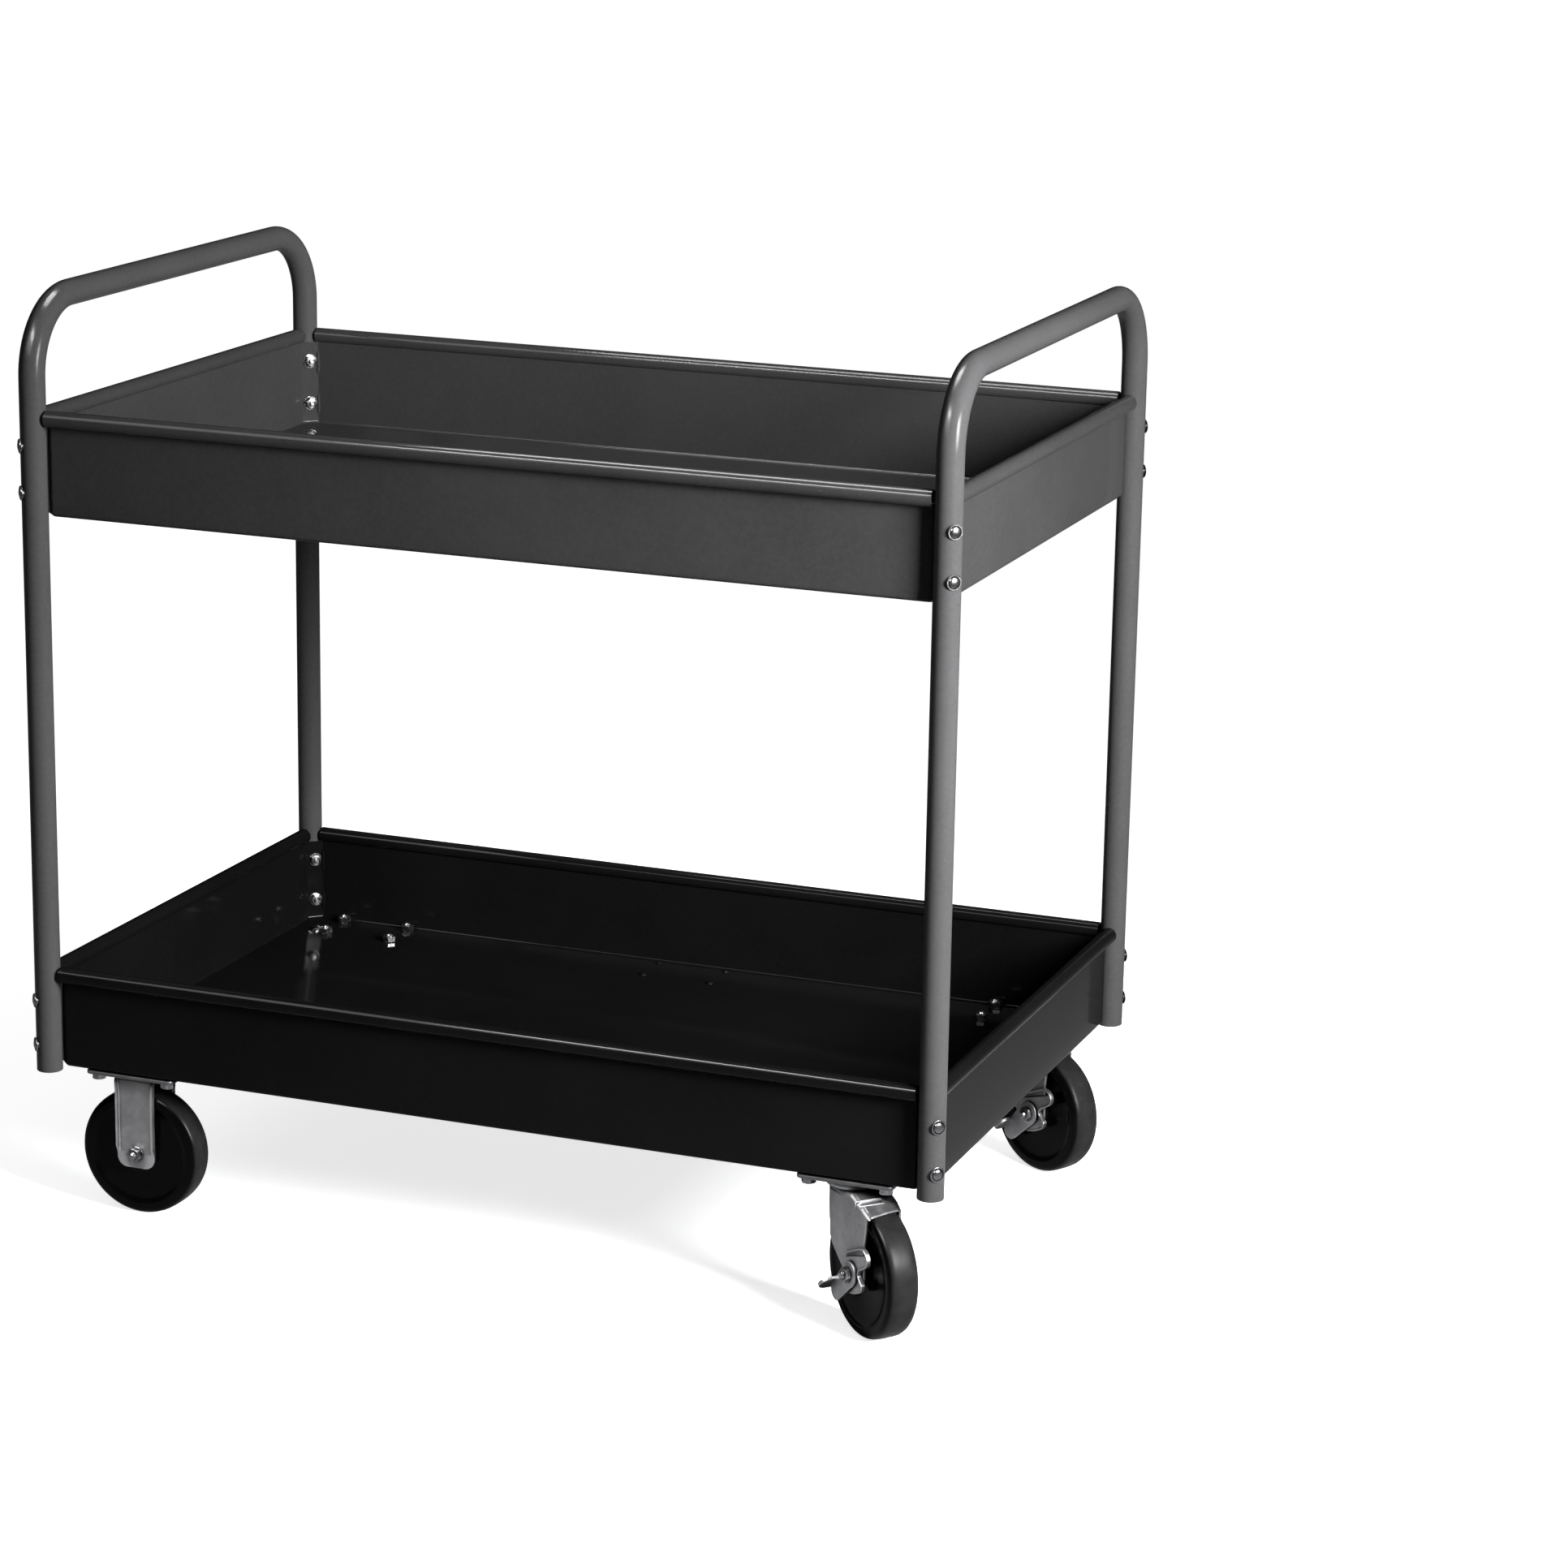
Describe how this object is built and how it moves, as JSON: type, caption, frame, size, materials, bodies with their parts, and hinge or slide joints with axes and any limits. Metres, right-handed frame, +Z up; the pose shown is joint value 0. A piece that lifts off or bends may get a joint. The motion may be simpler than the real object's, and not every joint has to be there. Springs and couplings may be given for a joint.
{
  "type": "rolling utility cart",
  "caption": "Steel service cart with upper and lower trays between bent-tube end handles, on rigid and braked swivel casters.",
  "frame": {"origin": "on the floor, under the middle of the whole cart's box at rest; the cart's own middle plane is 14.6 mm towards +Y, because the front swivel wheel trails out past the tray", "axes": "+X along the cart towards the swivel casters, +Y towards the back side, +Z up"},
  "size_m": [0.943, 0.6223, 0.9152],
  "materials": {
    "tray_enamel": "gloss dark enamel",
    "tube_enamel": "gloss dark grey enamel",
    "bright_steel": "bright plated",
    "zinc_plate": "satin zinc plate",
    "wheel_black": "gloss hard black"
  },
  "bodies": {
    "cart": {"frame_left": "tube_enamel", "frame_right": "tube_enamel", "tray_lower": "tray_enamel", "tray_upper": "tray_enamel", "frame_bolt_lower_front_left_low": "bright_steel", "frame_bolt_lower_front_left_high": "bright_steel", "frame_bolt_upper_front_left_low": "bright_steel", "frame_bolt_upper_front_left_high": "bright_steel", "frame_bolt_lower_back_left_low": "bright_steel", "frame_bolt_lower_back_left_high": "bright_steel", "frame_bolt_upper_back_left_low": "bright_steel", "frame_bolt_upper_back_left_high": "bright_steel", "frame_bolt_lower_front_right_low": "bright_steel", "frame_bolt_lower_front_right_high": "bright_steel", "frame_bolt_upper_front_right_low": "bright_steel", "frame_bolt_upper_front_right_high": "bright_steel", "frame_bolt_lower_back_right_low": "bright_steel", "frame_bolt_lower_back_right_high": "bright_steel", "frame_bolt_upper_back_right_low": "bright_steel", "frame_bolt_upper_back_right_high": "bright_steel", "caster_bolt_front_left_1": "bright_steel", "caster_bolt_front_left_2": "bright_steel", "caster_bolt_front_left_3": "bright_steel", "caster_bolt_front_left_4": "bright_steel", "caster_bolt_back_left_1": "bright_steel", "caster_bolt_back_left_2": "bright_steel", "caster_bolt_back_left_3": "bright_steel", "caster_bolt_back_left_4": "bright_steel", "caster_bolt_front_right_1": "bright_steel", "caster_bolt_front_right_2": "bright_steel", "caster_bolt_front_right_3": "bright_steel", "caster_bolt_front_right_4": "bright_steel", "caster_bolt_back_right_1": "bright_steel", "caster_bolt_back_right_2": "bright_steel", "caster_bolt_back_right_3": "bright_steel", "caster_bolt_back_right_4": "bright_steel", "caster_horn_front_left": "zinc_plate", "axle_front_left": "bright_steel", "bushing_front_left": "bright_steel", "swivel_plate_front": "zinc_plate", "kingpin_front": "bright_steel", "caster_horn_back_left": "zinc_plate", "axle_back_left": "bright_steel", "bushing_back_left": "bright_steel", "swivel_plate_back": "zinc_plate", "kingpin_back": "bright_steel"},
    "wheel_front_left": {"wheel_front_left": "wheel_black"},
    "fork_front": {"swivel_yoke_front": "zinc_plate", "axle_front_right": "bright_steel", "bushing_front_right": "bright_steel", "brake_housing_front": "zinc_plate"},
    "wheel_front_right": {"wheel_front_right": "wheel_black"},
    "brake_front": {"brake_lever_front": "zinc_plate"},
    "wheel_back_left": {"wheel_back_left": "wheel_black"},
    "fork_back": {"swivel_yoke_back": "zinc_plate", "axle_back_right": "bright_steel", "bushing_back_right": "bright_steel", "brake_housing_back": "zinc_plate"},
    "wheel_back_right": {"wheel_back_right": "wheel_black"},
    "brake_back": {"brake_lever_back": "zinc_plate"}
  },
  "joints": [
    {"name": "wheel_front_left_spin", "type": "hinge", "parent": "cart", "child": "wheel_front_left", "pos_m": [-0.372, -0.2324, 0.0635], "axis": [0, 1, 0], "continuous": true},
    {"name": "swivel_front", "type": "hinge", "parent": "cart", "child": "fork_front", "pos_m": [0.372, -0.2324, 0.1375], "axis": [0, 0, 1], "continuous": true},
    {"name": "wheel_front_right_spin", "type": "hinge", "parent": "fork_front", "child": "wheel_front_right", "pos_m": [0.4008, -0.2587, 0.0635], "axis": [0.6743, 0.7385, 0], "continuous": true},
    {"name": "brake_front_press", "type": "hinge", "parent": "fork_front", "child": "brake_front", "pos_m": [0.4008, -0.2587, 0.0635], "axis": [-0.6743, -0.7385, 0], "range_deg": [0, 25]},
    {"name": "wheel_back_left_spin", "type": "hinge", "parent": "cart", "child": "wheel_back_left", "pos_m": [-0.372, 0.2616, 0.0635], "axis": [0, 1, 0], "continuous": true},
    {"name": "swivel_back", "type": "hinge", "parent": "cart", "child": "fork_back", "pos_m": [0.3755, 0.2616, 0.1375], "axis": [0, 0, 1], "continuous": true},
    {"name": "wheel_back_right_spin", "type": "hinge", "parent": "fork_back", "child": "wheel_back_right", "pos_m": [0.40927, 0.2421, 0.0635], "axis": [0.5, 0.866, 0], "continuous": true},
    {"name": "brake_back_press", "type": "hinge", "parent": "fork_back", "child": "brake_back", "pos_m": [0.40927, 0.2421, 0.0635], "axis": [-0.5, -0.866, 0], "range_deg": [0, 25]}
  ]
}
